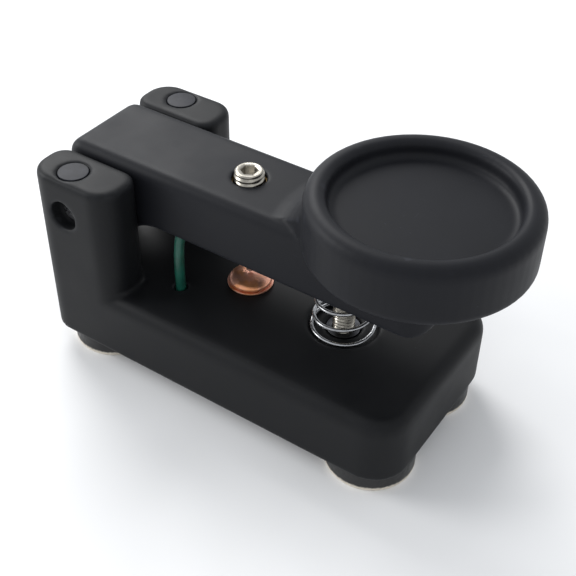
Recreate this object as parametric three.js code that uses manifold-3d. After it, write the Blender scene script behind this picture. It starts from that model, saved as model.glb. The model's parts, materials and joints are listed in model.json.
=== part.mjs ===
// A pocket Morse straight key: a moulded base with two rear ears, a pivoting lever with a
// dished finger knob, a return spring, an adjustable contact and four disc magnet feet.
// Millimetres. +X runs from the pivot to the knob, +Z is up, the near side faces -Y.

import * as THREE from 'three';
import { mergeVertices } from 'three/addons/utils/BufferGeometryUtils.js';
import Module from 'manifold-3d';

const wasm = await Module();
wasm.setup();

// ---------- driving dimensions ----------
// Lengths along X start at the rear face of the base, heights start at its underside.

const clearance = 0.1;       // between parts that touch on the real object
const throughCut = 1;        // how far a cutting tool runs past the face it opens

const foot = { radius: 6, height: 3, edge: 0.3, rearX: 6.6, frontX: 50.2, y: 7.6 };

const base = { length: 56.4, width: 28.4, height: 9.9, fillet: 1.8, roof: 2.4 };
const baseCorner = { rear: 3.4, front: 5 };

const ear = { length: 13.6, thickness: 7.1, top: 26.5, outerCorner: 3.4, innerCorner: 2.4, fillet: 0.8 };

const pivot = { x: 5.7, z: 21, shaftRadius: 1.5, shaftLength: 24.8, holeRadius: 1.6, leverHole: 1.9 };
const sideBore = { radius: 2.1, depth: 2 };
const lockScrew = { radius: 1.45, length: 2.3, y: 11.2, keyWidth: 1.5, keyDepth: 1.2, point: 0.5 };
const earPlug = { radius: 1.95, thickness: 1, edge: 0.15 };

const bearing = { outerRadius: 3, outerInside: 2.6, innerOutside: 2, width: 2.5 };
const cage = { ballRadius: 0.26, balls: 7, halfWidth: 0.3, halfThickness: 0.12 };
const shim = { radius: 2, thickness: 0.4 };

const arm = { width: 13.4, bottom: 18.4, top: 27.2, rear: 0.1, front: 55.4, fillet: 1.5, frontCorner: 4 };
const armLower = { edge: 0.3, upTo: 22 };   // below this height the arm's edges are only just eased
const hub = { bottom: 16.4, length: 10.4, ramp: 3, rearCorner: 2.3, soft: 2.4 };
const heelStop = { x: 0.9, length: 2, width: 5 };

const knob = { x: 50.3, radius: 14, bottom: 26.75, top: 34.4, dish: 2.2 };
const knobEdge = { lower: 0.6, outer: 1.6, crown: 0.2, inner: 1, hollow: 0.8 };
const neck = { coveRadius: 4.2, flareRadius: 7, overlap: 2 };
const knobSegments = 64;

const contact = { x: 25.7, headRadius: 2.95, headHeight: 1.3, rim: 0.2 };
const contactShank = { radius: 1.5, end: 4.2, point: 0.3 };
const contactWasher = { radius: 3.2, thickness: 0.3 };
const contactTag = { radius: 3, thickness: 0.4, width: 2.2, reach: 6.4 };
const contactNut = { acrossFlats: 5.5, height: 2.4 };
const contactGap = 0.42;

const adjuster = { radius: 2, proud: 1.1, pitch: 0.7, threadDepth: 0.25, play: 0.3, chamfer: 0.4 };
const adjusterKey = { width: 2, depth: 2 };
const contactTip = { radius: 0.6, length: 2.9, collar: 2.3, stemRadius: 0.4, edge: 0.15 };
const leverInsert = { radius: 2.7, bore: 2.15, length: 7.2, sunk: 0.6 };

const spring = { x: 40.8, lowRadius: 4.3, highRadius: 3.05, wireRadius: 0.27, play: 0.3 };
const springSeat = { leverDepth: 1.2, deckDepth: 0.5 };
const springCoils = { start: 290, closedLow: 0.2, open: 3.7, closedHigh: 1, closedPitchRatio: 1.12 };
const springStud = { radius: 1.5, top: 19.6, pitch: 0.5, threadDepth: 0.2 };
const studRecess = { radius: 2.3, top: 23 };
const studInsert = { radius: 2.3, length: 5 };

const bay = { x0: 16.4, x1: 36.6, halfWidth: 7.2 };
const cover = { x0: 14.8, x1: 38.2, halfWidth: 11.2, thickness: 1.6, corner: 2 };
const coverScrew = { xs: [19.4, 34.6], y: 9.1, radius: 0.95, length: 5.8, point: 0.4 };
const coverScrewHead = { radius: 1.7, height: 0.9 };
const crossSlot = { reach: 1, halfWidth: 0.2, depth: 0.55 };

const jack = { x: 2.6, z: 4.65, length: 12, width: 6, height: 5, endWall: 2 };
const jackThroat = { barrelRadius: 2.5, boreRadius: 1.8 };
const lug = { width: 1.6, thickness: 0.4, length: 3.2, y: 1.5, slotDepth: 1.2, eyeRadius: 0.4 };

const wire = { radius: 0.7, channelRadius: 1, deckHole: 0.95, x: 18.45, y: -6.3 };
const innerWireRadius = 0.55;

const overallLength = knob.x + knob.radius;

// ---------- materials ----------

function finish(color, roughness, metalness) {
  return () => new THREE.MeshStandardMaterial({ color, roughness, metalness });
}

const blackPlastic = finish(0x35373a, 0.55, 0);
const coverPlastic = finish(0x2c2e31, 0.6, 0);
const plugPlastic = finish(0x3f4147, 0.5, 0);
const jackPlastic = finish(0x18191b, 0.4, 0);
const steel = finish(0xb9bbbd, 0.28, 1);
const darkSteel = finish(0x55585c, 0.35, 1);
const nickel = finish(0xc3beb4, 0.22, 1);
const magnetCoating = finish(0x262626, 0.5, 0);
const copper = finish(0xb8754f, 0.3, 1);
const brass = finish(0xb99a55, 0.32, 1);
const greenInsulation = finish(0x1a4a3c, 0.5, 0);
const redInsulation = finish(0x8a2420, 0.5, 0);

// ---------- solids ----------

function toSolid(geometry) {
  geometry.deleteAttribute('normal');
  geometry.deleteAttribute('uv');
  const merged = mergeVertices(geometry, 1e-5);
  const index = merged.index.array;
  const kept = [];
  for (let i = 0; i < index.length; i += 3) {
    const [a, b, c] = [index[i], index[i + 1], index[i + 2]];
    if (a !== b && b !== c && c !== a) kept.push(a, b, c);
  }
  return new wasm.Manifold(new wasm.Mesh({
    numProp: 3,
    vertProperties: new Float32Array(merged.attributes.position.array),
    triVerts: new Uint32Array(kept),
  }));
}

function toGeometry(solid) {
  const mesh = solid.getMesh();
  const geometry = new THREE.BufferGeometry();
  geometry.setAttribute('position', new THREE.BufferAttribute(new Float32Array(mesh.vertProperties), 3));
  geometry.setIndex(new THREE.BufferAttribute(new Uint32Array(mesh.triVerts), 1));
  geometry.computeVertexNormals();
  return geometry;
}

function joinAll(solids) {
  return solids.reduce((sum, solid) => sum.add(solid));
}

function cutAll(solid, tools) {
  return tools.reduce((rest, tool) => rest.subtract(tool), solid);
}

// A box between two corners.
function block([x0, y0, z0], [x1, y1, z1]) {
  const geometry = new THREE.BoxGeometry(x1 - x0, y1 - y0, z1 - z0);
  geometry.translate((x0 + x1) / 2, (y0 + y1) / 2, (z0 + z1) / 2);
  return toSolid(geometry);
}

// An upright cylinder between two heights.
function post(x, y, radius, z0, z1, segments = 24) {
  const geometry = new THREE.CylinderGeometry(radius, radius, z1 - z0, segments);
  geometry.rotateX(Math.PI / 2);
  geometry.translate(x, y, (z0 + z1) / 2);
  return toSolid(geometry);
}

// A cylinder lying along Y.
function crossRod(x, z, radius, y0, y1, segments = 28) {
  const geometry = new THREE.CylinderGeometry(radius, radius, y1 - y0, segments);
  geometry.translate(x, (y0 + y1) / 2, z);
  return toSolid(geometry);
}

// A cylinder lying along X.
function longRod(y, z, radius, x0, x1, segments = 28) {
  const geometry = new THREE.CylinderGeometry(radius, radius, x1 - x0, segments);
  geometry.rotateZ(Math.PI / 2);
  geometry.translate((x0 + x1) / 2, y, z);
  return toSolid(geometry);
}

// An outline in plan, pushed up from z0 to z1.
function prism(shape, z0, z1, curveSegments = 6) {
  const geometry = new THREE.ExtrudeGeometry(shape, { depth: z1 - z0, bevelEnabled: false, curveSegments });
  geometry.translate(0, 0, z0);
  return toSolid(geometry);
}

// The same, with its upper and lower edges rounded.
function softPrism(shape, z0, z1, fillet) {
  const geometry = new THREE.ExtrudeGeometry(shape, {
    depth: z1 - z0 - 2 * fillet,
    bevelEnabled: true,
    bevelThickness: fillet,
    bevelSize: fillet,
    bevelOffset: -fillet,
    bevelSegments: 4,
    curveSegments: 6,
  });
  geometry.translate(0, 0, z0 + fillet);
  return toSolid(geometry);
}

// A profile of [radius, height] pairs turned about a vertical axis at (x, y).
function turned(profile, x, y, segments = 28) {
  const points = profile.map(([radius, height]) => new THREE.Vector2(radius, height));
  const geometry = new THREE.LatheGeometry(points, segments);
  geometry.rotateX(Math.PI / 2);
  geometry.translate(x, y, 0);
  return toSolid(geometry);
}

// A rounded rectangle; corners are listed from the low-X low-Y one, going round by +X.
// Each arc is joined to the one before it by a straight line.
function roundedRect(x0, y0, x1, y1, corners) {
  const [a, b, c, d] = corners;
  const shape = new THREE.Shape();
  shape.absarc(x0 + a, y0 + a, a, Math.PI, Math.PI * 1.5, false);
  shape.absarc(x1 - b, y0 + b, b, -Math.PI / 2, 0, false);
  shape.absarc(x1 - c, y1 - c, c, 0, Math.PI / 2, false);
  shape.absarc(x0 + d, y1 - d, d, Math.PI / 2, Math.PI, false);
  shape.closePath();
  return shape;
}

function hexagon(acrossFlats) {
  const radius = acrossFlats / Math.sqrt(3);
  const shape = new THREE.Shape();
  for (let i = 0; i < 6; i += 1) {
    const angle = (i * Math.PI) / 3;
    const [x, y] = [radius * Math.cos(angle), radius * Math.sin(angle)];
    if (i === 0) shape.moveTo(x, y);
    else shape.lineTo(x, y);
  }
  shape.closePath();
  return shape;
}

// Points on an arc, as [radius, height] pairs for a turned profile.
function arc(centreX, centreZ, radius, fromDegrees, toDegrees, steps) {
  const points = [];
  for (let i = 0; i <= steps; i += 1) {
    const angle = THREE.MathUtils.degToRad(fromDegrees + ((toDegrees - fromDegrees) * i) / steps);
    points.push([centreX + radius * Math.cos(angle), centreZ + radius * Math.sin(angle)]);
  }
  return points;
}

// The ridged outline of a thread, from height z0 up to z1.
function threadProfile(radius, depth, pitch, z0, z1) {
  const turns = Math.floor((z1 - z0) / pitch);
  const points = [];
  for (let i = 0; i < turns; i += 1) {
    const z = z0 + i * pitch;
    points.push([radius - depth, z], [radius, z + pitch / 2]);
  }
  points.push([radius - depth, z0 + turns * pitch]);
  return points;
}

// A round tube or wire along a smooth line through the points.
function tubeAlong(points, radius, steps, sides = 8) {
  const curve = new THREE.CatmullRomCurve3(points.map((point) => new THREE.Vector3(...point)));
  return tubeOnCurve(curve, radius, steps, sides);
}

function tubeOnCurve(curve, radius, steps, sides) {
  const section = new THREE.Shape();
  for (let i = 0; i < sides; i += 1) {
    const angle = (i * 2 * Math.PI) / sides;
    const [x, y] = [radius * Math.cos(angle), radius * Math.sin(angle)];
    if (i === 0) section.moveTo(x, y);
    else section.lineTo(x, y);
  }
  section.closePath();
  return toSolid(new THREE.ExtrudeGeometry(section, { steps, extrudePath: curve, bevelEnabled: false }));
}

// ---------- where things meet ----------

const deck = base.height;
const halfWidth = base.width / 2;
const earInside = halfWidth - ear.thickness;
const bayRoof = base.height - base.roof;
const brassTop = arm.top - leverInsert.sunk;
const contactHeadBottom = deck + contactWasher.thickness + clearance;
const contactTop = contactHeadBottom + contact.headHeight;
const adjusterTipZ = contactTop + contactGap;
const jackEnd = jack.x + jack.length;
const insertTop = deck - springSeat.deckDepth;
const insertBottom = insertTop - studInsert.length;
const springLow = insertTop + spring.wireRadius + clearance;
const springHigh = arm.bottom + springSeat.leverDepth - spring.wireRadius - clearance;
const footDrop = foot.height + clearance;
const sides = [['near', -1], ['far', 1]];
const ends = [['rear', foot.rearX], ['front', foot.frontX]];

// ---------- base and cover ----------

function earSolid(side) {
  const [outer, inner] = [side * halfWidth, side * earInside];
  const [r, s] = [ear.outerCorner, ear.innerCorner];
  const corners = side < 0 ? [r, r, s, s] : [s, s, r, r];
  const outline = roundedRect(0, Math.min(outer, inner), ear.length, Math.max(outer, inner), corners);
  return softPrism(outline, base.height / 3, ear.top, ear.fillet);
}

function baseBlock() {
  const { rear, front } = baseCorner;
  const corners = [rear, front, front, rear];
  const outline = roundedRect(0, -halfWidth, base.length, halfWidth, corners);
  const taller = softPrism(outline, -base.fillet, base.height, base.fillet);
  const below = block([-throughCut, -base.width, -base.height], [base.length + throughCut, base.width, 0]);
  return taller.subtract(below);
}

function earCuts(side) {
  const faceY = side * halfWidth;
  const boreEnd = side * (halfWidth - sideBore.depth);
  const passed = faceY + side * throughCut;
  const plugFloor = ear.top - earPlug.thickness - 2 * clearance;
  const y = side * lockScrew.y;
  return [
    crossRod(pivot.x, pivot.z, sideBore.radius, Math.min(boreEnd, passed), Math.max(boreEnd, passed)),
    post(pivot.x, y, earPlug.radius + clearance * 1.5, plugFloor, ear.top + throughCut),
    post(pivot.x, y, pivot.holeRadius, pivot.z, plugFloor + throughCut),
  ];
}

function bayCuts() {
  const seat = roundedRect(
    cover.x0 - clearance, -cover.halfWidth - clearance,
    cover.x1 + clearance, cover.halfWidth + clearance, Array(4).fill(cover.corner));
  const room = roundedRect(bay.x0, -bay.halfWidth, bay.x1, bay.halfWidth, Array(4).fill(1));
  return [
    prism(seat, -throughCut, cover.thickness + 2 * clearance),
    prism(room, 0, bayRoof),
  ];
}

function coverScrewSpots() {
  return coverScrew.xs.flatMap((x) => [[x, -coverScrew.y], [x, coverScrew.y]]);
}

function jackTunnel() {
  const gap = 2 * clearance;
  const [y, z0, z1] = [jack.width / 2 + gap, jack.z - jack.height / 2 - gap, jack.z + jack.height / 2 + gap];
  return [
    block([jack.x - gap, -y, z0], [bay.x0 + throughCut, y, z1]),
    longRod(0, jack.z, jackThroat.barrelRadius + gap, -throughCut, jack.x),
  ];
}

function deckHoles() {
  return [
    post(contact.x, 0, contactShank.radius + clearance, bayRoof - throughCut, deck + throughCut),
    post(wire.x, wire.y, wire.deckHole, bayRoof - throughCut, deck + throughCut, 20),
    post(spring.x, 0, studInsert.radius + clearance, insertBottom - clearance, deck + throughCut),
    post(spring.x, 0, spring.lowRadius + spring.wireRadius + spring.play, insertTop, deck + throughCut, 40),
  ];
}

function baseBody() {
  const stopTop = hub.bottom - clearance;
  const stopEnd = heelStop.x + heelStop.length;
  const half = heelStop.width / 2;
  const heel = block([heelStop.x, -half, deck - throughCut], [stopEnd, half, stopTop]);
  const solid = joinAll([baseBlock(), earSolid(-1), earSolid(1), heel]);
  const screwHoles = coverScrewSpots().map(([x, y]) => (
    post(x, y, coverScrew.radius + clearance, cover.thickness, coverScrew.length + 4 * clearance, 20)));
  return cutAll(solid, [
    crossRod(pivot.x, pivot.z, pivot.holeRadius, -base.width, base.width),
    ...earCuts(-1),
    ...earCuts(1),
    ...bayCuts(),
    ...screwHoles,
    ...jackTunnel(),
    ...deckHoles(),
  ]);
}

function bottomCover() {
  const { x0, x1, halfWidth: half, corner } = cover;
  const outline = roundedRect(x0, -half, x1, half, Array(4).fill(corner));
  const plate = prism(outline, clearance, clearance + cover.thickness);
  const holes = coverScrewSpots().map(([x, y]) => turned([
    [0, -throughCut],
    [coverScrewHead.radius + 2 * clearance, -throughCut],
    [coverScrewHead.radius + 2 * clearance, 2 * clearance],
    [coverScrew.radius + 2 * clearance, coverScrewHead.height + 2 * clearance],
    [coverScrew.radius + 2 * clearance, cover.thickness + throughCut],
    [0, cover.thickness + throughCut],
  ], x, y, 16));
  return cutAll(plate, holes);
}

function coverScrewSolid(x, y) {
  const bottom = 2 * clearance;
  const body = turned([
    [0, bottom],
    [coverScrewHead.radius, bottom],
    [coverScrew.radius, bottom + coverScrewHead.height],
    [coverScrew.radius, coverScrew.length - coverScrew.point],
    [coverScrew.radius - coverScrew.point, coverScrew.length],
    [0, coverScrew.length],
  ], x, y, 16);
  const { reach, halfWidth: half, depth } = crossSlot;
  return cutAll(body, [
    block([x - reach, y - half, -throughCut], [x + reach, y + half, bottom + depth]),
    block([x - half, y - reach, -throughCut], [x + half, y + reach, bottom + depth]),
  ]);
}

function footSolid(x, y) {
  const { edge } = foot;
  const [low, high] = [-footDrop, -clearance];
  return turned([
    [0, low],
    [foot.radius - edge, low],
    [foot.radius, low + edge],
    [foot.radius, high - edge],
    [foot.radius - edge, high],
    [0, high],
  ], x, y, 40);
}

// ---------- jack and wires ----------

function jackBody() {
  const housing = block(
    [jack.x, -jack.width / 2, jack.z - jack.height / 2],
    [jackEnd, jack.width / 2, jack.z + jack.height / 2]);
  const slots = [-1, 1].map((side) => {
    const [y, reach, half] = [side * lug.y, lug.width / 2 + clearance, lug.thickness / 2 + clearance];
    return block(
      [jackEnd - lug.slotDepth, y - half, jack.z - reach],
      [jackEnd + throughCut, y + half, jack.z + reach]);
  });
  const bore = longRod(0, jack.z, jackThroat.boreRadius, jack.x - throughCut, jackEnd - jack.endWall);
  return cutAll(housing, [bore, ...slots]);
}

function jackBarrel() {
  const front = jack.x - clearance;
  const tube = longRod(0, jack.z, jackThroat.barrelRadius, clearance, front);
  return tube.subtract(longRod(0, jack.z, jackThroat.boreRadius, -throughCut, front + throughCut));
}

function jackLug(side) {
  const y = side * lug.y;
  const start = jackEnd - lug.slotDepth + clearance;
  const strip = block(
    [start, y - lug.thickness / 2, jack.z - lug.width / 2],
    [start + lug.length, y + lug.thickness / 2, jack.z + lug.width / 2]);
  const eyeX = start + lug.length - lug.width / 2;
  const eye = crossRod(eyeX, jack.z, lug.eyeRadius, y - throughCut, y + throughCut, 16);
  return strip.subtract(eye);
}

// The lever's wire leaves the jack, rises through the deck and goes on inside the lever.
const leverWireRoute = [
  [jackEnd + 2.6, -lug.y, jack.z],
  [17.6, -3.4, 4.4],
  [18.2, -5.4, 5],
  [wire.x, wire.y, 7],
  [wire.x, wire.y, 9.6],
  [18.4, -6.3, 12],
  [18.3, -6.15, 14.6],
  [18.2, -5.7, 17],
  [18.4, -5.1, 19.2],
  [18.9, -4.5, 21.3],
  [20, -3.7, 22.8],
  [21.5, -2.7, 23.4],
  [22.8, -1.9, 23.5],
];

const channelRoute = [...leverWireRoute.slice(7), [24, -1.1, 23.5]];

const contactWireRoute = [
  [jackEnd + 2.6, lug.y, jack.z],
  [18.8, 2.2, 4.4],
  [20.8, 3.9, 4.6],
  [22.8, 5.1, 5.2],
  [24.6, 5.4, 6],
  [26.4, 5.4, 6.2],
];

// ---------- fixed contact ----------

function fixedContact() {
  const bottom = contactHeadBottom;
  const dome = contact.headHeight - contact.rim;
  const profile = [
    [0, contactShank.end],
    [contactShank.radius - contactShank.point, contactShank.end],
    [contactShank.radius, contactShank.end + contactShank.point],
    [contactShank.radius, bottom],
    [contact.headRadius - clearance, bottom],
    [contact.headRadius, bottom + clearance],
    [contact.headRadius, bottom + contact.rim],
  ];
  const steps = 5;
  for (let i = 1; i <= steps; i += 1) {
    const angle = (i / steps) * (Math.PI / 2);
    profile.push([contact.headRadius * Math.cos(angle), bottom + contact.rim + dome * Math.sin(angle)]);
  }
  profile[profile.length - 1][0] = 0;
  return turned(profile, contact.x, 0);
}

function contactWasherSolid() {
  const { radius, thickness } = contactWasher;
  const ring = post(contact.x, 0, radius, deck + clearance / 2, deck + thickness, 40);
  return ring.subtract(post(contact.x, 0, contactShank.radius + clearance, 0, deck + throughCut));
}

function contactTagSolid() {
  const [low, high] = [bayRoof - clearance - contactTag.thickness, bayRoof - clearance];
  const half = contactTag.width / 2;
  const tongue = block([contact.x - half, 0, low], [contact.x + half, contactTag.reach, high]);
  const disc = post(contact.x, 0, contactTag.radius, low, high);
  const hole = post(contact.x, 0, contactShank.radius + clearance, 0, deck);
  return disc.add(tongue).subtract(hole);
}

function contactNutSolid() {
  const high = bayRoof - 2 * clearance - contactTag.thickness;
  const body = prism(hexagon(contactNut.acrossFlats), high - contactNut.height, high);
  const hole = post(contact.x, 0, contactShank.radius + clearance, 0, deck);
  return body.translate([contact.x, 0, 0]).subtract(hole);
}

// ---------- pivot ----------

function pivotShaft() {
  const half = pivot.shaftLength / 2;
  return crossRod(pivot.x, pivot.z, pivot.shaftRadius, -half, half);
}

// A ring about the pivot axis; from and to are distances from the middle of the key.
function pivotRing(side, innerRadius, outerRadius, from, to) {
  const [y0, y1] = [Math.min(side * from, side * to), Math.max(side * from, side * to)];
  const body = crossRod(pivot.x, pivot.z, outerRadius, y0, y1);
  return body.subtract(crossRod(pivot.x, pivot.z, innerRadius, y0 - throughCut, y1 + throughCut));
}

const bearingOutside = arm.width / 2 - clearance;
const bearingInside = bearingOutside - bearing.width;

function bearingCage(side) {
  const middle = (bearingOutside + bearingInside) / 2;
  const ballCircle = (bearing.outerInside + bearing.innerOutside) / 2;
  const { halfWidth: across, halfThickness: deep } = cage;
  const ring = pivotRing(side, ballCircle - deep, ballCircle + deep, middle - across, middle + across);
  const balls = [];
  for (let i = 0; i < cage.balls; i += 1) {
    const angle = (i * 2 * Math.PI) / cage.balls;
    const ball = new THREE.SphereGeometry(cage.ballRadius, 8, 5);
    ball.translate(
      pivot.x + ballCircle * Math.cos(angle), side * middle, pivot.z + ballCircle * Math.sin(angle));
    balls.push(toSolid(ball));
  }
  return joinAll([ring, ...balls]);
}

function earLockScrew(side) {
  const low = pivot.z + pivot.shaftRadius + clearance;
  const high = low + lockScrew.length;
  const body = turned([
    [0, low],
    [lockScrew.radius - lockScrew.point, low],
    [lockScrew.radius, low + lockScrew.point],
    [lockScrew.radius, high],
    [0, high],
  ], pivot.x, side * lockScrew.y, 24);
  const key = prism(hexagon(lockScrew.keyWidth), high - lockScrew.keyDepth, high + throughCut);
  return body.subtract(key.translate([pivot.x, side * lockScrew.y, 0]));
}

function earPlugSolid(side) {
  const high = ear.top - clearance / 2;
  return turned([
    [0, high - earPlug.thickness],
    [earPlug.radius, high - earPlug.thickness],
    [earPlug.radius, high - earPlug.edge],
    [earPlug.radius - earPlug.edge, high],
    [0, high],
  ], pivot.x, side * lockScrew.y, 40);
}

// ---------- lever ----------

// The bar from the side: a deeper hub round the pivot, a short ramp, then the straight arm.
function armOutline() {
  const { rearCorner, soft } = hub;
  const hubEnd = arm.rear + hub.length;
  const shape = new THREE.Shape();
  shape.absarc(arm.rear + soft, hub.bottom + soft, soft, Math.PI, Math.PI * 1.5, false);
  shape.lineTo(hubEnd - soft, hub.bottom);
  shape.quadraticCurveTo(hubEnd, hub.bottom, hubEnd + hub.ramp / 2, (hub.bottom + arm.bottom) / 2);
  shape.quadraticCurveTo(hubEnd + hub.ramp, arm.bottom, hubEnd + hub.ramp + soft, arm.bottom);
  shape.absarc(arm.front - soft, arm.bottom + soft, soft, -Math.PI / 2, 0, false);
  shape.lineTo(arm.front, arm.top);
  shape.absarc(arm.rear + rearCorner, arm.top - rearCorner, rearCorner, Math.PI / 2, Math.PI, false);
  shape.closePath();
  return shape;
}

function armBar() {
  const [half, r] = [arm.width / 2, arm.frontCorner];
  // The outline lies in XZ, so each prism's own axis turns onto Y.
  const [upper, whole] = [arm.fillet, armLower.edge].map((edge) => (
    softPrism(armOutline(), -half, half, edge).rotate([90, 0, 0])));
  const belowChange = block([0, -arm.width, 0], [arm.front, arm.width, armLower.upTo]);
  const plan = roundedRect(arm.rear, -half, arm.front, half, [arm.fillet, r, r, arm.fillet]);
  return upper.add(whole.intersect(belowChange)).intersect(prism(plan, 0, ear.top + arm.top, 10));
}

function knobDisc() {
  const { lower, outer, crown, inner, hollow } = knobEdge;
  const floorZ = knob.top - knob.dish;
  const outerCentre = knob.radius - outer;
  const innerCentre = outerCentre - crown;
  const profile = [
    [0, knob.bottom],
    ...arc(knob.radius - lower, knob.bottom + lower, lower, -90, 0, 2),
    ...arc(outerCentre, knob.top - outer, outer, 0, 90, 4),
    ...arc(innerCentre, knob.top - inner, inner, 90, 180, 3),
    ...arc(innerCentre - inner - hollow, floorZ + hollow, hollow, 0, -90, 3),
    [0, floorZ],
  ];
  return turned(profile, knob.x, 0, knobSegments);
}

// The cove that carries the arm's top up into the knob's wall, widening to meet the knob.
function neckFlare() {
  const outside = knob.radius + neck.coveRadius;
  const coveTop = arm.top + neck.coveRadius;
  const inside = knob.radius - neck.overlap;
  const ring = turned([
    [inside, knob.bottom],
    [outside, knob.bottom],
    ...arc(outside, coveTop, neck.coveRadius, -90, -180, 6),
    [inside, coveTop],
    [inside, knob.bottom],
  ], knob.x, 0, knobSegments);
  // It starts as wide as the flat of the arm's top, inside the rounded edges.
  const half = arm.width / 2 - arm.fillet;
  const hollowY = half + neck.flareRadius;
  const centres = knob.radius + neck.flareRadius;
  const reach = Math.sqrt(centres ** 2 - hollowY ** 2);
  const startX = knob.x - reach;
  const meetY = (knob.radius * hollowY) / centres;
  const [low, high] = [arm.bottom, knob.top];
  const strip = block([arm.rear, -half, low], [knob.x, half, high]);
  const wide = block([startX, -meetY, low], [knob.x, meetY, high]);
  const hollows = [-1, 1].map((side) => (
    post(startX, side * hollowY, neck.flareRadius, 0, high + throughCut, knobSegments)));
  return ring.intersect(strip.add(cutAll(wide, hollows)));
}

function leverKnob() {
  const bearingPocket = (side) => {
    const [from, to] = [side * (bearingInside - clearance), side * arm.width];
    const radius = bearing.outerRadius + clearance;
    return crossRod(pivot.x, pivot.z, radius, Math.min(from, to), Math.max(from, to));
  };
  const seatTop = arm.bottom + springSeat.leverDepth;
  const seatRadius = spring.highRadius + spring.wireRadius + spring.play;
  return cutAll(joinAll([armBar(), knobDisc(), neckFlare()]), [
    crossRod(pivot.x, pivot.z, pivot.leverHole, -arm.width, arm.width),
    bearingPocket(-1),
    bearingPocket(1),
    post(contact.x, 0, adjuster.radius + adjuster.play, 0, knob.top),
    post(contact.x, 0, leverInsert.radius + clearance, arm.bottom - throughCut, brassTop, 40),
    post(spring.x, 0, seatRadius, arm.bottom - throughCut, seatTop, 40),
    post(spring.x, 0, studRecess.radius, arm.bottom - throughCut, studRecess.top),
    tubeAlong(channelRoute, wire.channelRadius, 24, 12),
  ]);
}

function leverInsertSolid() {
  const high = brassTop - clearance;
  const body = post(contact.x, 0, leverInsert.radius, high - leverInsert.length, high, 40);
  return body.subtract(post(contact.x, 0, leverInsert.bore, 0, knob.top));
}

// ---------- adjustable contact ----------

const adjusterLow = adjusterTipZ + contactTip.collar + clearance;
const adjusterHigh = arm.top + adjuster.proud;

function gapAdjuster() {
  const threadTop = adjusterHigh - adjuster.chamfer;
  // Ridges only where the screw stands clear of the brass insert.
  const { radius, threadDepth, pitch } = adjuster;
  const body = turned([
    [0, adjusterLow],
    ...threadProfile(radius, threadDepth, pitch, adjusterLow, arm.bottom + pitch),
    [radius, arm.bottom + 2 * pitch],
    [radius, brassTop - pitch],
    ...threadProfile(radius, threadDepth, pitch, brassTop - pitch / 2, threadTop - pitch / 2),
    [adjuster.radius, threadTop],
    [adjuster.radius - adjuster.chamfer / 2, adjusterHigh],
    [0, adjusterHigh],
  ], contact.x, 0, 24);
  const key = prism(hexagon(adjusterKey.width), adjusterHigh - adjusterKey.depth, adjusterHigh + throughCut);
  const tipHoleEnd = adjusterLow + contactTip.length - contactTip.collar + 2 * clearance;
  return cutAll(body, [
    key.translate([contact.x, 0, 0]),
    post(contact.x, 0, contactTip.stemRadius + clearance, adjusterLow - throughCut, tipHoleEnd),
  ]);
}

function adjusterTip() {
  const { radius, stemRadius, edge, collar, length } = contactTip;
  return turned([
    [0, adjusterTipZ],
    [radius - edge, adjusterTipZ],
    [radius, adjusterTipZ + edge],
    [radius, adjusterTipZ + collar],
    [stemRadius, adjusterTipZ + collar],
    [stemRadius, adjusterTipZ + length],
    [0, adjusterTipZ + length],
  ], contact.x, 0, 24);
}

// ---------- return spring ----------

class SpringCurve extends THREE.Curve {
  getPoint(t, target = new THREE.Vector3()) {
    const turns = springCoils.closedLow + springCoils.open + springCoils.closedHigh;
    const turn = t * turns;
    const closedPitch = 2 * spring.wireRadius * springCoils.closedPitchRatio;
    const openRise = springHigh - springLow - closedPitch * (springCoils.closedLow + springCoils.closedHigh);
    const low = Math.min(turn, springCoils.closedLow);
    const open = THREE.MathUtils.clamp(turn - springCoils.closedLow, 0, springCoils.open);
    const high = Math.max(turn - springCoils.closedLow - springCoils.open, 0);
    const z = springLow + (low + high) * closedPitch + (open / springCoils.open) * openRise;
    const radius = THREE.MathUtils.lerp(spring.lowRadius, spring.highRadius, t);
    const angle = THREE.MathUtils.degToRad(springCoils.start) + turn * 2 * Math.PI;
    return target.set(spring.x + radius * Math.cos(angle), radius * Math.sin(angle), z);
  }
}

function returnSpring() {
  const stepsPerTurn = 20;
  const turns = springCoils.closedLow + springCoils.open + springCoils.closedHigh;
  return tubeOnCurve(new SpringCurve(), spring.wireRadius, Math.round(turns * stepsPerTurn), 8);
}

function springStudSolid() {
  const low = insertBottom + clearance;
  const { radius, threadDepth, pitch, top } = springStud;
  return turned([
    [0, low],
    [radius, low],
    [radius, insertTop - pitch],
    ...threadProfile(radius, threadDepth, pitch, insertTop - pitch / 2, top - pitch),
    [radius - threadDepth, top],
    [0, top],
  ], spring.x, 0, 20);
}

function studInsertSolid() {
  const body = post(spring.x, 0, studInsert.radius, insertBottom, insertTop - clearance, 28);
  return body.subtract(post(spring.x, 0, springStud.radius + clearance, 0, deck + throughCut));
}

// ---------- the assembly ----------

const assembly = new THREE.Group();
assembly.position.set(-overallLength / 2, 0, footDrop);

function place(name, solid, material) {
  const mesh = new THREE.Mesh(toGeometry(solid), material());
  mesh.name = name;
  assembly.add(mesh);
}

place('base_body', baseBody(), blackPlastic);
place('bottom_cover', bottomCover(), coverPlastic);
coverScrewSpots().forEach(([x, y], i) => place(`cover_screw_${i + 1}`, coverScrewSolid(x, y), darkSteel));
for (const [end, x] of ends) {
  for (const [side, sign] of sides) {
    place(`foot_magnet_${end}_${side}`, footSolid(x, sign * foot.y), magnetCoating);
  }
}

place('jack_body', jackBody(), jackPlastic);
place('jack_barrel', jackBarrel(), nickel);
place('jack_tip_lug', jackLug(-1), nickel);
place('jack_sleeve_lug', jackLug(1), nickel);
place('lever_wire', tubeAlong(leverWireRoute, wire.radius, 36), greenInsulation);
place('contact_wire', tubeAlong(contactWireRoute, innerWireRadius, 16), redInsulation);

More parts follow.
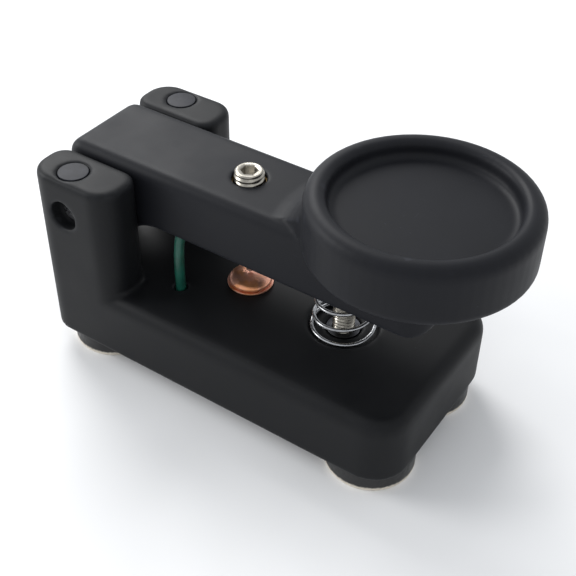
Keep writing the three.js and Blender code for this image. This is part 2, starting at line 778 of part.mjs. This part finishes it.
place('fixed_contact', fixedContact(), copper);
place('contact_washer', contactWasherSolid(), copper);
place('contact_tag', contactTagSolid(), brass);
place('contact_nut', contactNutSolid(), steel);

place('pivot_shaft', pivotShaft(), steel);
for (const [side, sign] of sides) {
  const shaftFit = pivot.shaftRadius + clearance / 2;
  const innerRing = [shaftFit, bearing.innerOutside];
  const outerRing = [bearing.outerInside, bearing.outerRadius];
  const shimInside = bearingOutside + clearance;
  const shimRing = [shaftFit, shim.radius, shimInside, shimInside + shim.thickness];
  place(`bearing_inner_${side}`, pivotRing(sign, ...innerRing, bearingInside, bearingOutside), steel);
  place(`bearing_outer_${side}`, pivotRing(sign, ...outerRing, bearingInside, bearingOutside), steel);
  place(`bearing_cage_${side}`, bearingCage(sign), brass);
  place(`pivot_shim_${side}`, pivotRing(sign, ...shimRing), brass);
  place(`shaft_lock_screw_${side}`, earLockScrew(sign), darkSteel);
  place(`ear_plug_${side}`, earPlugSolid(sign), plugPlastic);
}

place('lever_knob', leverKnob(), blackPlastic);
place('lever_insert', leverInsertSolid(), brass);
place('gap_adjuster', gapAdjuster(), steel);
place('adjuster_tip', adjusterTip(), steel);
place('return_spring', returnSpring(), steel);
place('spring_stud', springStudSolid(), steel);
place('stud_insert', studInsertSolid(), darkSteel);

const object = new THREE.Group();
object.add(assembly);

export default object;
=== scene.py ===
"""Looks for a pocket telegraph straight key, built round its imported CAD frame.

Metres, +X from the pivot to the knob, +Z up, the near side faces -Y.
"""

import json
import math

import bpy
from mathutils import Matrix, Quaternion, Vector

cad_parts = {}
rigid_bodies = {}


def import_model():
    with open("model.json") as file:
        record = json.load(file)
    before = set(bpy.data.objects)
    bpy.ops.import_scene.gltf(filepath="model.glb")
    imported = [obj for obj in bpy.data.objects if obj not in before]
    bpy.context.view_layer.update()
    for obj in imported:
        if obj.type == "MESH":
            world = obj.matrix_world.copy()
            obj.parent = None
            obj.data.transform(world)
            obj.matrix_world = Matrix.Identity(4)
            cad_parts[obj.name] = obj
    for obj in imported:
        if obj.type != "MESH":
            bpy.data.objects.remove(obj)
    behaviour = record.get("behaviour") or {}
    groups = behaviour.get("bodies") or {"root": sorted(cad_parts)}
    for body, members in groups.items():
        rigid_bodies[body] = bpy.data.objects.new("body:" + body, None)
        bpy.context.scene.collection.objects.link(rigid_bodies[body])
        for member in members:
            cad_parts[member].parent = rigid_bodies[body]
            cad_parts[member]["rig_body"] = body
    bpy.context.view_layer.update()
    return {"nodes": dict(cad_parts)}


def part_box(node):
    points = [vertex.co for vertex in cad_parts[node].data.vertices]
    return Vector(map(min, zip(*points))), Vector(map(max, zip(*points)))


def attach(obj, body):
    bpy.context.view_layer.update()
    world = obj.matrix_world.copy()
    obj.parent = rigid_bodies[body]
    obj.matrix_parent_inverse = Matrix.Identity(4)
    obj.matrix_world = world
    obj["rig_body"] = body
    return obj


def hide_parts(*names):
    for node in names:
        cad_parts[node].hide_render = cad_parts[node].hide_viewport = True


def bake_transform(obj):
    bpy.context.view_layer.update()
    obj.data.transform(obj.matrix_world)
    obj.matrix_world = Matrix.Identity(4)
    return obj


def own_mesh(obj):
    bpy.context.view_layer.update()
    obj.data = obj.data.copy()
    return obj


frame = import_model()

MM = 0.001

# ---------- camera ----------

CAMERA_PLACE = (58.60 * MM, -89.34 * MM, 105.11 * MM)
CAMERA_AIM = (0.916 * MM, -1.798 * MM, 16.541 * MM)
CAMERA_ROLL = math.radians(0.987)
CAMERA_LENS = 64.985
CAMERA_SENSOR = 36.0


def add_camera():
    data = bpy.data.cameras.new("camera")
    data.lens = CAMERA_LENS
    data.sensor_width = CAMERA_SENSOR
    data.clip_start = 0.005
    data.clip_end = 20
    camera = bpy.data.objects.new("camera", data)
    bpy.context.scene.collection.objects.link(camera)
    camera.location = CAMERA_PLACE
    ahead = Vector(CAMERA_AIM) - Vector(CAMERA_PLACE)
    camera.rotation_mode = "QUATERNION"
    level = ahead.to_track_quat("-Z", "Y")
    camera.rotation_quaternion = level @ Quaternion((0, 0, 1), CAMERA_ROLL)
    bpy.context.scene.camera = camera


add_camera()

# ---------- material building ----------


class Nodes:
    """A material's node tree, with short calls for the nodes used here."""

    def __init__(self, name):
        self.material = bpy.data.materials.new(name)
        self.material.use_nodes = True
        self.tree = self.material.node_tree
        self.shader = self.tree.nodes["Principled BSDF"]
        self.place = self.add("ShaderNodeTexCoord").outputs["Object"]

    def add(self, kind, **settings):
        node = self.tree.nodes.new(kind)
        for key, value in settings.items():
            setattr(node, key, value)
        return node

    def link(self, out, into):
        self.tree.links.new(out, into)

    def feed(self, socket, value):
        """Sets a socket from a number or colour, or links it to an output."""
        if isinstance(value, bpy.types.NodeSocket):
            self.link(value, socket)
        else:
            socket.default_value = value

    def stretched(self, factors):
        node = self.add("ShaderNodeMapping")
        self.link(self.place, node.inputs["Vector"])
        node.inputs["Scale"].default_value = factors
        return node.outputs["Vector"]

    def noise(self, size, detail=3.0, rough=0.55, warp=0.0, vector=None):
        """Noise from 0 to 1 whose blotches are about size metres across."""
        node = self.add("ShaderNodeTexNoise")
        self.link(vector or self.place, node.inputs["Vector"])
        node.inputs["Scale"].default_value = 1 / size
        node.inputs["Detail"].default_value = detail
        node.inputs["Roughness"].default_value = rough
        node.inputs["Distortion"].default_value = warp
        return node.outputs["Fac"]

    def cell_distance(self, size):
        """Distance to the middle of the nearest of many scattered cells, size metres apart."""
        node = self.add("ShaderNodeTexVoronoi", feature="F1")
        self.link(self.place, node.inputs["Vector"])
        node.inputs["Scale"].default_value = 1 / size
        return node.outputs["Distance"]

    def span(self, value, low, high, to_low=0.0, to_high=1.0):
        """value's range low..high carried to to_low..to_high, and held there outside it."""
        node = self.add("ShaderNodeMapRange", interpolation_type="SMOOTHSTEP")
        self.feed(node.inputs["Value"], value)
        for key, number in (
            ("From Min", low),
            ("From Max", high),
            ("To Min", to_low),
            ("To Max", to_high),
        ):
            node.inputs[key].default_value = number
        return node.outputs["Result"]

    def math(self, operation, a, b=0.0):
        node = self.add("ShaderNodeMath", operation=operation)
        self.feed(node.inputs[0], a)
        self.feed(node.inputs[1], b)
        return node.outputs[0]

    def mix(self, share, a, b, blend="MIX"):
        """Colours a and b mixed by share."""
        node = self.add("ShaderNodeMix", data_type="RGBA", blend_type=blend)
        self.feed(node.inputs[0], share)
        for socket, value in ((node.inputs[6], a), (node.inputs[7], b)):
            if isinstance(value, bpy.types.NodeSocket):
                self.link(value, socket)
            else:
                socket.default_value = (*value, 1.0)
        return node.outputs[2]

    def bump(self, height, distance, strength=1.0, under=None):
        node = self.add("ShaderNodeBump")
        self.feed(node.inputs["Height"], height)
        node.inputs["Distance"].default_value = distance
        node.inputs["Strength"].default_value = strength
        if under is not None:
            self.link(under, node.inputs["Normal"])
        return node.outputs["Normal"]

    def pointiness(self):
        return self.add("ShaderNodeNewGeometry").outputs["Pointiness"]

    def height(self):
        """Height above the floor, in metres."""
        node = self.add("ShaderNodeSeparateXYZ")
        self.link(self.place, node.inputs[0])
        return node.outputs["Z"]

    def finish(self, color, roughness, metallic=0.0, normal=None):
        self.feed(self.shader.inputs["Base Color"], color)
        self.feed(self.shader.inputs["Roughness"], roughness)
        self.shader.inputs["Metallic"].default_value = metallic
        if normal is not None:
            self.link(normal, self.shader.inputs["Normal"])
        return self.material


def srgb(red, green, blue):
    """A display colour, 0 to 255, as the linear colour a shader takes."""

    def linear(value):
        value /= 255
        return value / 12.92 if value <= 0.04045 else ((value + 0.055) / 1.055) ** 2.4

    return (linear(red), linear(green), linear(blue))


def scaled(color, factor):
    return tuple(channel * factor for channel in color)


GRAIN_SIZE = 0.16 * MM
GRAIN_DEPTH = 0.012 * MM
RIPPLE_SIZE = 0.9 * MM
RIPPLE_DEPTH = 0.02 * MM
CLOUD_SIZE = 7 * MM
SCRATCH_WIDTH = 0.12 * MM
SCRATCH_PATCH = 5 * MM
SPECK_SPACING = 1.7 * MM
SPECK_PATCH = 2.1 * MM
EDGE_PALING_PATCH = 1.6 * MM


def moulded_plastic(name, color, rough=(0.46, 0.54), edge_paling=0.7, specular=0.17):
    """Matte moulded plastic: fine grain, cloudy tone, scratches, specks and paler edges."""
    n = Nodes(name)
    cloud = n.noise(CLOUD_SIZE, detail=4)
    grain = n.noise(GRAIN_SIZE, detail=2)
    orange_peel = n.noise(RIPPLE_SIZE, detail=3)
    tone = n.mix(n.span(cloud, 0.3, 0.7), scaled(color, 0.9), scaled(color, 1.12))
    tone = n.mix(n.span(grain, 0.62, 0.8, 0, 0.25), tone, scaled(color, 1.7))
    along = n.noise(SCRATCH_WIDTH, detail=1, vector=n.stretched((0.03, 1, 1)), warp=0.3)
    across = n.noise(SCRATCH_WIDTH, detail=1, vector=n.stretched((1, 0.04, 1)), warp=0.3)
    lines = n.math("MAXIMUM", n.span(along, 0.74, 0.78), n.span(across, 0.75, 0.79))
    patches = n.span(n.noise(SCRATCH_PATCH, detail=2), 0.52, 0.66)
    scratches = n.math("MULTIPLY", lines, patches)
    speck = n.span(n.cell_distance(SPECK_SPACING), 0.035, 0.06, 1, 0)
    chosen = n.span(n.noise(SPECK_PATCH, detail=0), 0.6, 0.64)
    specks = n.math("MULTIPLY", speck, chosen)
    marks = n.math("MAXIMUM", scratches, specks)
    tone = n.mix(n.math("MULTIPLY", marks, 0.55), tone, scaled(color, 5.5))
    # Convex edges, found by pointiness, turn paler in patches.
    edge = n.span(n.pointiness(), 0.505, 0.54)
    edge = n.math("MULTIPLY", edge, n.span(n.noise(EDGE_PALING_PATCH), 0.35, 0.65, 0.3, 1))
    tone = n.mix(n.math("MULTIPLY", edge, edge_paling), tone, scaled(color, 2.6))
    rough_value = n.span(cloud, 0.25, 0.75, *rough)
    rough_value = n.math("ADD", rough_value, n.math("MULTIPLY", marks, 0.12))
    normal = n.bump(grain, GRAIN_DEPTH, 0.55)
    normal = n.bump(orange_peel, RIPPLE_DEPTH, 0.25, under=normal)
    n.shader.inputs["Specular IOR Level"].default_value = specular
    return n.finish(tone, rough_value, 0.0, normal)


def bare_metal(name, color, rough=(0.2, 0.38), dull=0.6, brushed=(1, 1, 0.05)):
    """Metal with drawn lines, uneven polish and a little darkening."""
    n = Nodes(name)
    drawn = n.noise(0.08 * MM, detail=2, vector=n.stretched(brushed))
    cloud = n.noise(1.8 * MM, detail=4, rough=0.65)
    tone = n.mix(n.span(cloud, 0.35, 0.7), color, scaled(color, dull))
    tone = n.mix(n.span(drawn, 0.55, 0.75, 0, 0.3), tone, scaled(color, 0.7))
    pits = n.span(n.noise(0.35 * MM, detail=2), 0.68, 0.76)
    tone = n.mix(n.math("MULTIPLY", pits, 0.5), tone, scaled(color, 0.3))
    value = n.span(cloud, 0.3, 0.75, *rough)
    value = n.math("ADD", value, n.math("MULTIPLY", pits, 0.2))
    normal = n.bump(drawn, 0.006 * MM, 0.5)
    return n.finish(tone, value, 1.0, normal)


def tarnished_copper(name):
    """Copper with pinker polished areas, browner tarnish and a fine polish bump."""
    n = Nodes(name)
    bright, orange, brown = srgb(248, 186, 162), srgb(240, 166, 118), srgb(160, 92, 66)
    cloud = n.noise(2.6 * MM, detail=4, rough=0.55, warp=0.4)
    tone = n.mix(n.span(cloud, 0.38, 0.62), bright, orange)
    stain = n.noise(0.9 * MM, detail=4, rough=0.6)
    tone = n.mix(n.span(stain, 0.58, 0.78, 0, 0.5), tone, brown)
    polish = n.noise(0.1 * MM, detail=2)
    normal = n.bump(polish, 0.005 * MM, 0.5)
    value = n.span(stain, 0.35, 0.75, 0.3, 0.5)
    return n.finish(tone, value, 0.85, normal)


def insulation(name, color, rough=(0.34, 0.5)):
    """Soft wire insulation with faint ripples along the wire and dull patches."""
    n = Nodes(name)
    cloud = n.noise(1.5 * MM, detail=3)
    ripple = n.noise(0.5 * MM, detail=2, vector=n.stretched((1, 1, 0.35)))
    tone = n.mix(n.span(cloud, 0.3, 0.7), scaled(color, 0.82), scaled(color, 1.25))
    dusty = n.span(n.noise(0.25 * MM, detail=2), 0.62, 0.75, 0, 0.25)
    tone = n.mix(dusty, tone, scaled(color, 2.4))
    normal = n.bump(ripple, 0.03 * MM, 0.5)
    return n.finish(tone, n.span(ripple, 0.3, 0.7, *rough), 0.0, normal)


def magnet_painted_shade_and_reflection(name, painted_reflection_to, painted_shade_from):
    """Black painted shade on the side, with a pale nickel painted reflection in a ragged band
    round the lower edge.
    """
    n = Nodes(name)
    # Painted shade: the black of the side. Painted reflection: the pale nickel band low on the
    # side.
    painted_shade_black, nickel_painted_reflection = srgb(22, 22, 23), srgb(226, 218, 204)
    ragged_noise = n.noise(0.5 * MM, detail=5, rough=0.65)
    cloud = n.noise(3 * MM, detail=3)
    ragged_reach = 0.5 * MM
    ragged = n.math("MULTIPLY", n.math("SUBTRACT", ragged_noise, 0.5), ragged_reach)
    level = n.math("ADD", n.height(), ragged)
    # Mask of the pale painted reflection band round the lower edge, with a ragged top.
    painted_reflection_mask = n.span(level, painted_reflection_to, painted_shade_from, 1, 0)
    tone = n.mix(n.span(cloud, 0.3, 0.7), scaled(painted_shade_black, 0.8), scaled(painted_shade_black, 1.3))
    tone = n.mix(painted_reflection_mask, tone, nickel_painted_reflection)
    value = n.span(ragged_noise, 0.3, 0.7, 0.3, 0.5)
    n.finish(tone, value, 0.0, n.bump(ragged_noise, 0.02 * MM, 0.5))
    n.link(n.math("MULTIPLY", painted_reflection_mask, 0.4), n.shader.inputs["Metallic"])
    return n.material


BLACK = moulded_plastic("moulded_black", srgb(19, 20, 22))
LEVER_BLACK = moulded_plastic(
    "moulded_black_lever", srgb(23, 24, 28), rough=(0.45, 0.53), specular=0.16
)
COVER = moulded_plastic("moulded_cover", srgb(21, 22, 25), rough=(0.5, 0.6))
PLUG = moulded_plastic("moulded_plug", srgb(23, 24, 29), rough=(0.42, 0.5))
JACK = moulded_plastic("moulded_jack", srgb(22, 23, 25), rough=(0.3, 0.42), edge_paling=0.2)
STEEL = bare_metal("drawn_steel", srgb(190, 191, 193))
SCREW_STEEL = bare_metal("screw_steel", srgb(186, 181, 170), rough=(0.24, 0.4), brushed=(1, 1, 1))
DARK_STEEL = bare_metal("blackened_steel", srgb(92, 93, 97), rough=(0.3, 0.48), dull=0.5)
NICKEL = bare_metal("nickel_plate", srgb(200, 196, 188), rough=(0.15, 0.3), dull=0.75)
BRASS = bare_metal("turned_brass", srgb(190, 158, 92), rough=(0.22, 0.4))
# Brass darkened to about 0.6 of its colour: painted shade for the insert down in the lever's
# hole.
BRASS_PAINTED_SHADE = bare_metal("brass_painted_shade", srgb(112, 92, 58), rough=(0.4, 0.6))
COPPER = tarnished_copper("tarnished_copper")
GREEN = insulation("green_insulation", srgb(18, 78, 64))
RED = insulation("red_insulation", srgb(138, 36, 32))
# Heights of the magnets' pale painted reflection band, and of the painted shade above it.
MAGNET_PAINTED_REFLECTION_BELOW = 0.35 * MM
MAGNET_PAINTED_SHADE_ABOVE = 0.75 * MM
MAGNET = magnet_painted_shade_and_reflection("magnet_painted_shade_and_reflection", MAGNET_PAINTED_REFLECTION_BELOW, MAGNET_PAINTED_SHADE_ABOVE)

# ---------- pieces ----------


def keep_shading_flat_where_flat(piece):
    modifier = piece.modifiers.new("weighted_normals", "WEIGHTED_NORMAL")
    modifier.mode = "FACE_AREA"
    modifier.weight = 80


def add_piece(name, points, faces, material, node, rides=True):
    """A new mesh that stands for a CAD node and, unless told not to, rides on the same body."""
    mesh = bpy.data.meshes.new(name)
    mesh.from_pydata([tuple(p) for p in points], [], faces)
    mesh.validate()
    mesh.polygons.foreach_set("use_smooth", [True] * len(mesh.polygons))
    mesh.materials.append(material)
    piece = bpy.data.objects.new(name, mesh)
    bpy.context.scene.collection.objects.link(piece)
    keep_shading_flat_where_flat(piece)
    if rides:
        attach(piece, frame["nodes"][node]["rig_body"])
    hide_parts(node)
    return piece


def rings_to_mesh(rings, closed_ends=True):
    """Points and faces of a skin over rings that hold the same number of points."""
    count = len(rings[0])
    points = [p for ring in rings for p in ring]
    faces = []
    for i in range(len(rings) - 1):
        for j in range(count):
            k = (j + 1) % count
            low, high = i * count, (i + 1) * count
            faces.append((low + j, low + k, high + k, high + j))
    if closed_ends:
        for ring, turned in ((0, True), (len(rings) - 1, False)):
            middle = sum((Vector(p) for p in rings[ring]), Vector()) / count
            points.append(middle)
            hub = len(points) - 1
            for j in range(count):
                a, b = ring * count + j, ring * count + (j + 1) % count
                faces.append((b, a, hub) if turned else (a, b, hub))
    return points, faces


def ring_at(x, y, z, radius, count):
    """A level ring; radius is a number or a function of the angle."""
    points = []
    for j in range(count):
        angle = 2 * math.pi * j / count
        r = radius(angle) if callable(radius) else radius
        points.append((x + r * math.cos(angle), y + r * math.sin(angle), z))
    return points


def rounded(corners, steps=5):
    """A profile of (radius, height, rounding) corners, with each corner turned into an arc."""
    profile = []
    last = len(corners) - 1
    for i, (r, z, rounding) in enumerate(corners):
        here = Vector((r, z))
        if rounding == 0 or i in (0, last):
            profile.append((r, z))
            continue
        before = (Vector(corners[i - 1][:2]) - here).normalized()
        after = (Vector(corners[i + 1][:2]) - here).normalized()
        half = before.angle(after) / 2
        reach = rounding / math.tan(half)
        start, end = here + before * reach, here + after * reach
        centre = here + (before + after).normalized() * (rounding / math.sin(half))
        a, b = start - centre, end - centre
        total = a.angle_signed(b)
        for k in range(steps + 1):
            turn = Matrix.Rotation(-total * k / steps, 2)
            profile.append(tuple(centre + turn @ a))
    return profile


def lathe(x, y, profile, count=96):
    return rings_to_mesh([ring_at(x, y, z, max(r, 1e-6), count) for r, z in profile])


def middle_of(node):
    low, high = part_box(node)
    return (low + high) / 2


def half_width_of(node):
    low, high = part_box(node)
    return (high.y - low.y) / 2


def tube(points, radius, sides, steps_between=8):
    """A round tube on a smooth line through points, with rounded rims at its two ends."""
    line = []
    path = [Vector(p) for p in points]
    extended = [2 * path[0] - path[1], *path, 2 * path[-1] - path[-2]]
    for i in range(1, len(extended) - 2):
        a, b, c, d = extended[i - 1 : i + 3]
        for k in range(steps_between):
            t = k / steps_between
            line.append(
                0.5
                * (
                    2 * b
                    + (c - a) * t
                    + (2 * a - 5 * b + 4 * c - d) * t**2
                    + (3 * b - a - 3 * c + d) * t**3
                )
            )
    line.append(path[-1])
    return sweep(line, radius, sides)


def sweep(line, radius, sides):
    """Rings of the given radius square to a line, without twist."""
    rim = 0.25 * radius
    rings = []
    ahead = (line[1] - line[0]).normalized()
    side = ahead.orthogonal().normalized()
    for i, point in enumerate(line):
        before, after = line[max(i - 1, 0)], line[min(i + 1, len(line) - 1)]
        ahead = (after - before).normalized()
        side = (side - ahead * side.dot(ahead)).normalized()
        up = ahead.cross(side)
        if i == 0:
            rings.append(ring_about(point, side, up, radius - rim, sides))
            point = point + ahead * rim * 0.5
        if i == len(line) - 1:
            rings.append(ring_about(point - ahead * rim * 0.5, side, up, radius, sides))
            rings.append(ring_about(point, side, up, radius - rim, sides))
        else:
            rings.append(ring_about(point, side, up, radius, sides))
    return rings_to_mesh(rings)


def ring_about(centre, side, up, radius, sides):
    turns = [2 * math.pi * j / sides for j in range(sides)]
    return [centre + side * (radius * math.cos(a)) + up * (radius * math.sin(a)) for a in turns]


def hex_reach(half_flats, angle):
    """How far a hexagon's outline is from its middle, at an angle."""
    return half_flats / math.cos((angle + math.pi / 6) % (math.pi / 3) - math.pi / 6)


def thread_rings(x, y, radius, depth, pitch, z0, z1, chamfer, count=72, per_pitch=8):
    """Rings whose radius follows a screw thread, tapering at the two ends by chamfer."""
    rings = []
    rows = max(2, round((z1 - z0) / pitch * per_pitch))
    for i in range(rows + 1):
        z = z0 + (z1 - z0) * i / rows
        limit = radius - max(0.0, chamfer - min(z - z0, z1 - z))

        def outline(angle, z=z, limit=limit):
            phase = (z / pitch - angle / (2 * math.pi)) % 1
            groove = 1 - abs(2 * phase - 1)
            cut = depth * min(1.0, max(0.0, 1.25 * groove - 0.1))
            return min(radius - cut, limit)

        rings.append(ring_at(x, y, z, outline, count))
    return rings


def gap_screw():
    """The threaded gap screw, with a hex socket in its upper end."""
    low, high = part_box("gap_adjuster")
    x, y = middle_of("gap_adjuster").xy
    radius = half_width_of("gap_adjuster")
    count = 96
    pitch, depth, chamfer = 0.7 * MM, 0.28 * MM, 0.3 * MM
    half_flats, socket, edge, cone = 1.0 * MM, 1.9 * MM, 0.12 * MM, 0.35 * MM
    rings = thread_rings(x, y, radius, depth, pitch, low.z, high.z, chamfer, count)
    top = high.z
    rings.append(ring_at(x, y, top, radius - chamfer - 0.12 * MM, count))
    for grow, down in ((edge, 0), (0.3 * edge, 0.35 * edge), (0, edge), (0, socket)):
        size = half_flats + grow
        rings.append(ring_at(x, y, top - down, lambda a, s=size: hex_reach(s, a), count))
    rings.append(ring_at(x, y, top - socket - cone, 0.05 * MM, count))
    points, faces = rings_to_mesh(rings)
    add_piece("gap_screw_threaded", points, faces, SCREW_STEEL, "gap_adjuster")


def threaded_stud():
    low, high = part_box("spring_stud")
    x, y = middle_of("spring_stud").xy
    radius = half_width_of("spring_stud")
    pitch, depth, chamfer = 0.5 * MM, 0.22 * MM, 0.25 * MM
    rings = thread_rings(x, y, radius, depth, pitch, low.z, high.z, chamfer)
    points, faces = rings_to_mesh(rings)
    add_piece("spring_stud_threaded", points, faces, SCREW_STEEL, "spring_stud")


def coil_spring():
    """The conical return spring: a flat first half turn, open coils, and a closed turn on top.
    """
    low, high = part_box("return_spring")
    x, y = middle_of("spring_stud").xy
    wire = 0.27 * MM
    wide, narrow = 4.3 * MM, 3.05 * MM
    start, flat_low, opened, closed_high = math.radians(130), 0.55, 3.55, 0.9
    closed_pitch = 2 * wire * 1.12
    z_low, z_high = low.z + wire, high.z - wire
    rise = z_high - z_low - closed_pitch * closed_high
    turns = flat_low + opened + closed_high
    per_turn = 72
    line = []
    for i in range(round(turns * per_turn) + 1):
        turn = i / per_turn
        closed = max(turn - flat_low - opened, 0)
        share = min(max(turn - flat_low, 0), opened) / opened
        radius = wide + (narrow - wide) * turn / turns
        angle = start + 2 * math.pi * turn
        z = z_low + closed * closed_pitch + share * rise
        line.append(Vector((x + radius * math.cos(angle), y + radius * math.sin(angle), z)))
    points, faces = sweep(line, wire, 14)
    piece = add_piece("return_spring_coil", points, faces, STEEL, "return_spring")
    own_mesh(piece)


def copper_contact():
    """The domed contact with its shank, and the thin ring under its head."""
    low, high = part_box("fixed_contact")
    x, y = middle_of("fixed_contact").xy
    head = half_width_of("fixed_contact")
    shank, head_height, rim = 1.5 * MM, 1.3 * MM, 0.2 * MM
    under = high.z - head_height
    profile = rounded(
        [
            (0, low.z, 0),
            (shank, low.z, 0.25 * MM),
            (shank, under, 0),
            (head, under, 0.1 * MM),
            (head, under + rim, 0),
        ]
    )
    steps = 16
    for i in range(1, steps + 1):
        angle = math.pi / 2 * i / steps
        z = under + rim + (head_height - rim) * math.sin(angle)
        profile.append((head * math.cos(angle), z))
    points, faces = lathe(x, y, profile)
    add_piece("copper_contact_head", points, faces, COPPER, "fixed_contact")


def ring_piece(name, node, inner, edge, material):
    low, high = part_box(node)
    x, y = middle_of(node).xy
    outer = half_width_of(node)
    lower = [(r, low.z, edge) for r in (inner, outer)]
    upper = [(r, high.z, edge) for r in (outer, inner)]
    corners = lower + upper
    count = 96
    loop = rounded([corners[-1], *corners, corners[0]], 3)[1:-1]
    rings = [ring_at(x, y, z, r, count) for r, z in loop]
    points, faces = rings_to_mesh([*rings, rings[0]], closed_ends=False)
    last = len(rings) * count
    faces = [tuple(i - last if i >= last else i for i in face) for face in faces]
    add_piece(name, points[:last], faces, material, node)


def disc_piece(name, node, low_edge, high_edge, material, slot, fill=0.0):
    """A turned disc in a CAD disc's place; fill is how far it closes the gap round it."""
    low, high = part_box(node)
    x, y = middle_of(node).xy
    radius = half_width_of(node) + fill
    profile = rounded(
        [(0, low.z, 0), (radius, low.z, low_edge), (radius, high.z, high_edge), (0, high.z, 0)]
    )
    points, faces = lathe(x, y, profile, 128)
    add_piece(name, points, faces, material, node)


def wires():
    """The lever's wire and the contact's wire, on their routes from the socket's lugs."""
    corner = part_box("base_body")[0]
    routes = {
        "lever_wire": [
            (17.2, -1.5, 4.65), (17.6, -3.4, 4.4), (18.2, -5.4, 5), (18.45, -6.3, 7),
            (18.45, -6.3, 9.6), (18.4, -6.3, 12), (18.3, -6.15, 14.6), (18.2, -5.7, 17),
            (18.4, -5.1, 19.2), (18.9, -4.5, 21.3), (20, -3.7, 22.8), (21.5, -2.7, 23.4),
            (22.8, -1.9, 23.5),
        ],
        "contact_wire": [
            (17.2, 1.5, 4.65), (18.8, 2.2, 4.4), (20.8, 3.9, 4.6), (22.8, 5.1, 5.2),
            (24.6, 5.4, 6), (26.4, 5.4, 6.2),
        ],
    }
    looks = {
        "lever_wire": ("green_wire_insulated", 0.7 * MM, GREEN, "green_insulation"),
        "contact_wire": ("red_wire_insulated", 0.55 * MM, RED, "red_insulation"),
    }
    for node, route in routes.items():
        name, radius, material, slot = looks[node]
        path = [(corner.x + px * MM, py * MM, corner.z + pz * MM) for px, py, pz in route]
        points, faces = tube(path, radius, 24)
        bends = node == "lever_wire"
        piece = add_piece(name, points, faces, material, node, rides=not bends)
        if bends:
            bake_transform(piece)


gap_screw()
threaded_stud()
coil_spring()
copper_contact()
RING_BORE = 1.6 * MM
RING_EDGE = 0.06 * MM
MAGNET_EDGE = 0.3 * MM
PLUG_LOWER_EDGE = 0.05 * MM
PLUG_UPPER_EDGE = 0.1 * MM
PLUG_GAP_FILL = 0.09 * MM

ring_piece("contact_ring", "contact_washer", RING_BORE, RING_EDGE, COPPER)
for foot in ("rear_near", "rear_far", "front_near", "front_far"):
    node = f"foot_magnet_{foot}"
    disc_piece(f"magnet_disc_{foot}", node, MAGNET_EDGE, MAGNET_EDGE, MAGNET, "magnet_coating")
for side in ("near", "far"):
    edges = (PLUG_LOWER_EDGE, PLUG_UPPER_EDGE)
    disc_piece(f"plug_{side}", f"ear_plug_{side}", *edges, PLUG, "plug_plastic", PLUG_GAP_FILL)
wires()

# ---------- CAD nodes that stay ----------


def softened(node, voxel, rounds):
    """A close even mesh over the CAD solid, its hard corners eased as moulding leaves them."""
    piece = frame["nodes"][node]
    remesh = piece.modifiers.new("even_mesh", "REMESH")
    remesh.mode = "VOXEL"
    remesh.voxel_size = voxel
    remesh.use_smooth_shade = True
    smooth = piece.modifiers.new("eased_corners", "SMOOTH")
    smooth.factor = 0.5
    smooth.iterations = rounds


def dress(node, material):
    piece = frame["nodes"][node]
    piece.data.materials.clear()
    piece.data.materials.append(material)


KEPT = {
    "base_body": BLACK,
    "lever_knob": LEVER_BLACK,
    "bottom_cover": COVER,
    "jack_body": JACK,
    "jack_barrel": NICKEL,
    "jack_tip_lug": NICKEL,
    "jack_sleeve_lug": NICKEL,
    "contact_tag": BRASS,
    "contact_nut": STEEL,
    "lever_insert": BRASS_PAINTED_SHADE,
    "stud_insert": DARK_STEEL,
    "adjuster_tip": STEEL,
    "pivot_shaft": STEEL,
}
for number in range(1, 5):
    KEPT[f"cover_screw_{number}"] = DARK_STEEL
for side in ("near", "far"):
    KEPT[f"shaft_lock_screw_{side}"] = DARK_STEEL
    for part in ("bearing_inner", "bearing_outer"):
        KEPT[f"{part}_{side}"] = STEEL
    for part in ("bearing_cage", "pivot_shim"):
        KEPT[f"{part}_{side}"] = BRASS
for node, material in KEPT.items():
    dress(node, material)
VOXELS = {"base_body": 0.3 * MM, "lever_knob": 0.24 * MM}
SMOOTHING_ROUNDS = 5
for node, voxel in VOXELS.items():
    softened(node, voxel, SMOOTHING_ROUNDS)

# ---------- floor and light ----------

SKY_COLOR = (0.94, 0.965, 1.0)
SKY_STRENGTH = 0.82
LIGHT_AIM = (0, 0, 0.02)
# Each light's place in metres, its width in metres and its power in watts.
LIGHTS = {
    "key_soft": ((-0.5, 0.32, 0.5), 0.4, 3.5),
    "side_soft": ((-0.45, -0.2, 0.22), 0.25, 1.3),
}


def add_floor():
    floor_size = 3.0
    mesh = bpy.data.meshes.new("floor")
    half = floor_size / 2
    corners = [(-half, -half, 0), (half, -half, 0), (half, half, 0), (-half, half, 0)]
    mesh.from_pydata(corners, [], [(0, 1, 2, 3)])
    floor = bpy.data.objects.new("floor", mesh)
    bpy.context.scene.collection.objects.link(floor)
    n = Nodes("pale_floor")
    speckle = n.noise(30 * MM, detail=2)
    tone = n.mix(n.span(speckle, 0.3, 0.7), (0.86, 0.86, 0.86), (0.9, 0.9, 0.9))
    mesh.materials.append(n.finish(tone, 0.9))


def add_area_light(name, place, size, power):
    data = bpy.data.lights.new(name, "AREA")
    data.shape = "DISK"
    data.size = size
    data.energy = power
    light = bpy.data.objects.new(name, data)
    bpy.context.scene.collection.objects.link(light)
    light.location = place
    ahead = Vector(LIGHT_AIM) - Vector(place)
    light.rotation_mode = "QUATERNION"
    light.rotation_quaternion = ahead.to_track_quat("-Z", "Y")


def add_world(color, strength):
    world = bpy.data.worlds.new("studio")
    world.use_nodes = True
    background = world.node_tree.nodes["Background"]
    background.inputs["Color"].default_value = (*color, 1)
    background.inputs["Strength"].default_value = strength
    bpy.context.scene.world = world


add_floor()
add_world(SKY_COLOR, SKY_STRENGTH)
for name, (place, size, power) in LIGHTS.items():
    add_area_light(name, place, size, power)
bpy.context.scene.view_settings.view_transform = "Standard"
